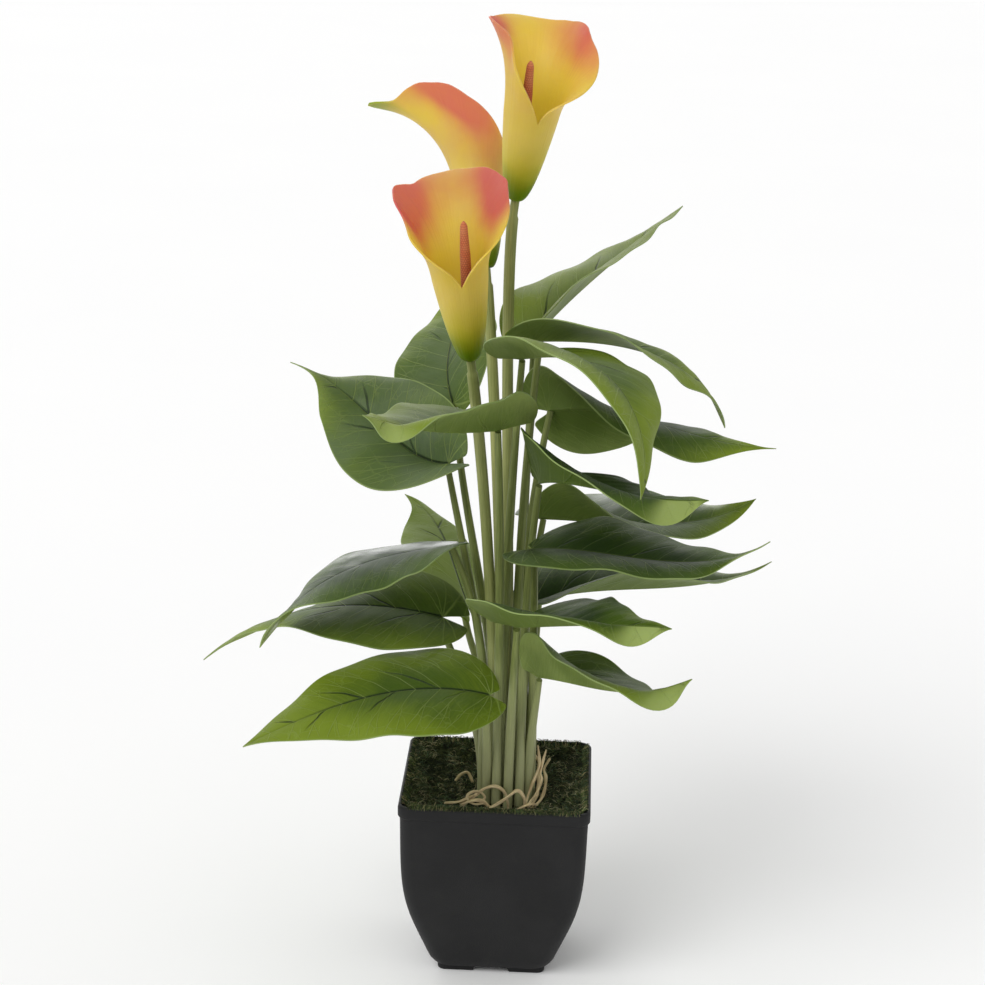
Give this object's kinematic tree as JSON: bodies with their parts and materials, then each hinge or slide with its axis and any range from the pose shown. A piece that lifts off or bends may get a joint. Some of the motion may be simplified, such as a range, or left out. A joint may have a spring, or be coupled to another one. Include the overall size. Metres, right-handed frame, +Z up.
{
  "type": "potted calla lily",
  "caption": "Artificial calla lily in a square pot: trumpet blooms on upright stems over arching heart-shaped leaves, with moss and straw roots at the foot.",
  "frame": {"origin": "on the standing surface, under the middle of the plant's bounding box; the pot's centre is 7.2 mm to the right and 7.2 mm in front of it", "axes": "+Z up, -Y towards the viewer of the picture, +X to the viewer's right; the pot's sides are along X and Y"},
  "size_m": [0.315, 0.3024, 0.5274],
  "materials": {
    "pot_black": "fine matte moulded",
    "casting_grey": "rough cast",
    "moss_green": "loose dyed fibre",
    "leaf_green": "satin with printed veins",
    "stalk_green": "satin",
    "spathe_yellow": "soft satin, printed from green over yellow to coral",
    "spadix_red": "grainy",
    "root_straw": "twisted fibre"
  },
  "bodies": {
    "root": {"pot": "pot_black", "casting": "casting_grey", "moss_mat": "moss_green", "bloom_1_spathe": "spathe_yellow", "bloom_1_spadix": "spadix_red", "bloom_1_stem": "stalk_green", "bloom_2_spathe": "spathe_yellow", "bloom_2_spadix": "spadix_red", "bloom_2_stem": "stalk_green", "bloom_3_spathe": "spathe_yellow", "bloom_3_spadix": "spadix_red", "bloom_3_stem": "stalk_green", "leaf_01_blade": "leaf_green", "leaf_01_stalk": "stalk_green", "leaf_02_blade": "leaf_green", "leaf_02_stalk": "stalk_green", "leaf_03_blade": "leaf_green", "leaf_03_stalk": "stalk_green", "leaf_04_blade": "leaf_green", "leaf_04_stalk": "stalk_green", "leaf_05_blade": "leaf_green", "leaf_05_stalk": "stalk_green", "leaf_06_blade": "leaf_green", "leaf_06_stalk": "stalk_green", "leaf_07_blade": "leaf_green", "leaf_07_stalk": "stalk_green", "leaf_08_blade": "leaf_green", "leaf_08_stalk": "stalk_green", "leaf_09_blade": "leaf_green", "leaf_09_stalk": "stalk_green", "leaf_10_blade": "leaf_green", "leaf_10_stalk": "stalk_green", "leaf_11_blade": "leaf_green", "leaf_11_stalk": "stalk_green", "leaf_12_blade": "leaf_green", "leaf_12_stalk": "stalk_green", "leaf_13_blade": "leaf_green", "leaf_13_stalk": "stalk_green", "leaf_14_blade": "leaf_green", "leaf_14_stalk": "stalk_green", "leaf_15_blade": "leaf_green", "leaf_15_stalk": "stalk_green", "leaf_16_blade": "leaf_green", "leaf_16_stalk": "stalk_green", "leaf_17_blade": "leaf_green", "leaf_17_stalk": "stalk_green", "root_1": "root_straw", "root_2": "root_straw", "root_3": "root_straw", "root_4": "root_straw", "root_5": "root_straw", "root_6": "root_straw"}
  },
  "joints": []
}
